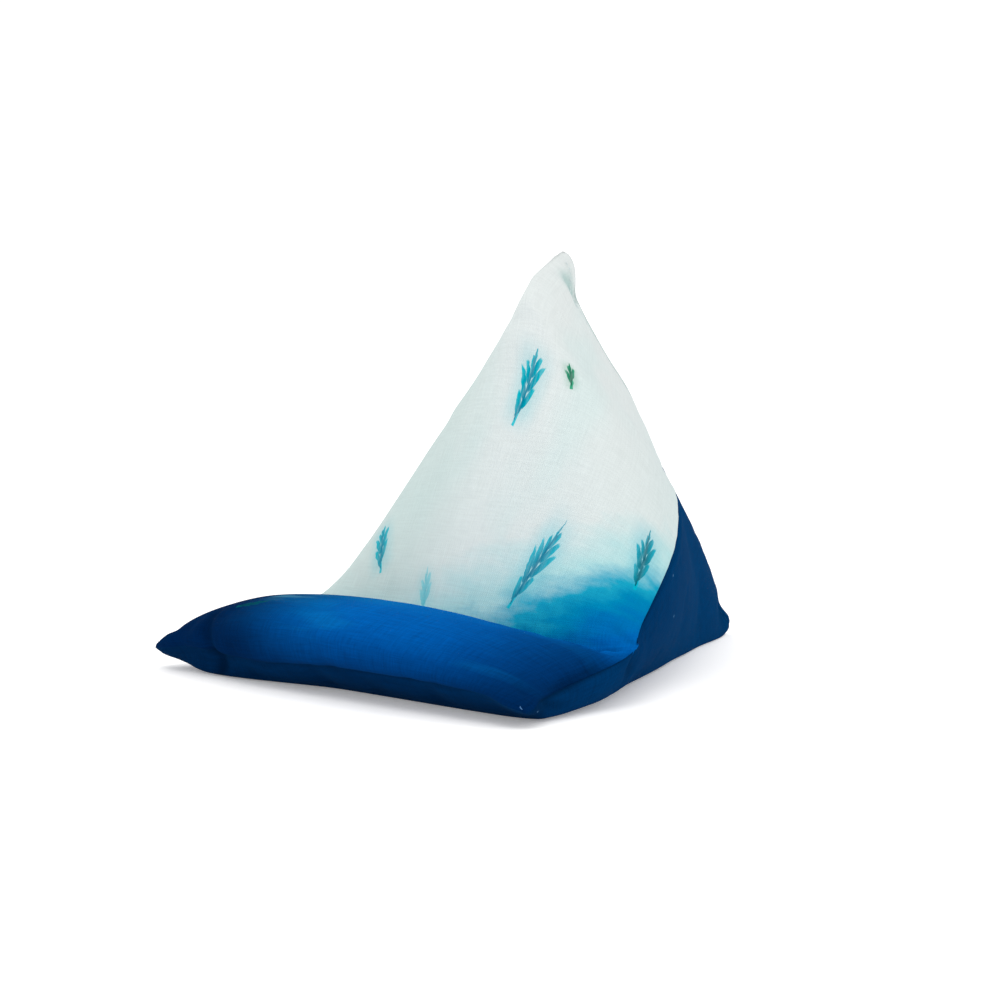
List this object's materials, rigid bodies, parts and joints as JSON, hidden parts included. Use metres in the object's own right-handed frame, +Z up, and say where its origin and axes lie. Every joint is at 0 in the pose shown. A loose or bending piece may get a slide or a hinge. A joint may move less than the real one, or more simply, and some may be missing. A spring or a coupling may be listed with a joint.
{
  "type": "tablet pillow",
  "caption": "Small leaning fabric pillow that holds a tablet or phone upright on a table, with a wide front lip, a sewn groove for the device and a sloping face",
  "frame": {"origin": "centre of the bounding box on the surface that the pillow stands on", "axes": "+Z up, +X to the right and +Y to the back for someone who faces the front lip"},
  "size_m": [0.168, 0.1994, 0.1373],
  "materials": {
    "cover": "matte woven cotton, printed on the front panel and plain navy on the back panel"
  },
  "bodies": {
    "root": {"pillow": "cover"}
  },
  "joints": []
}
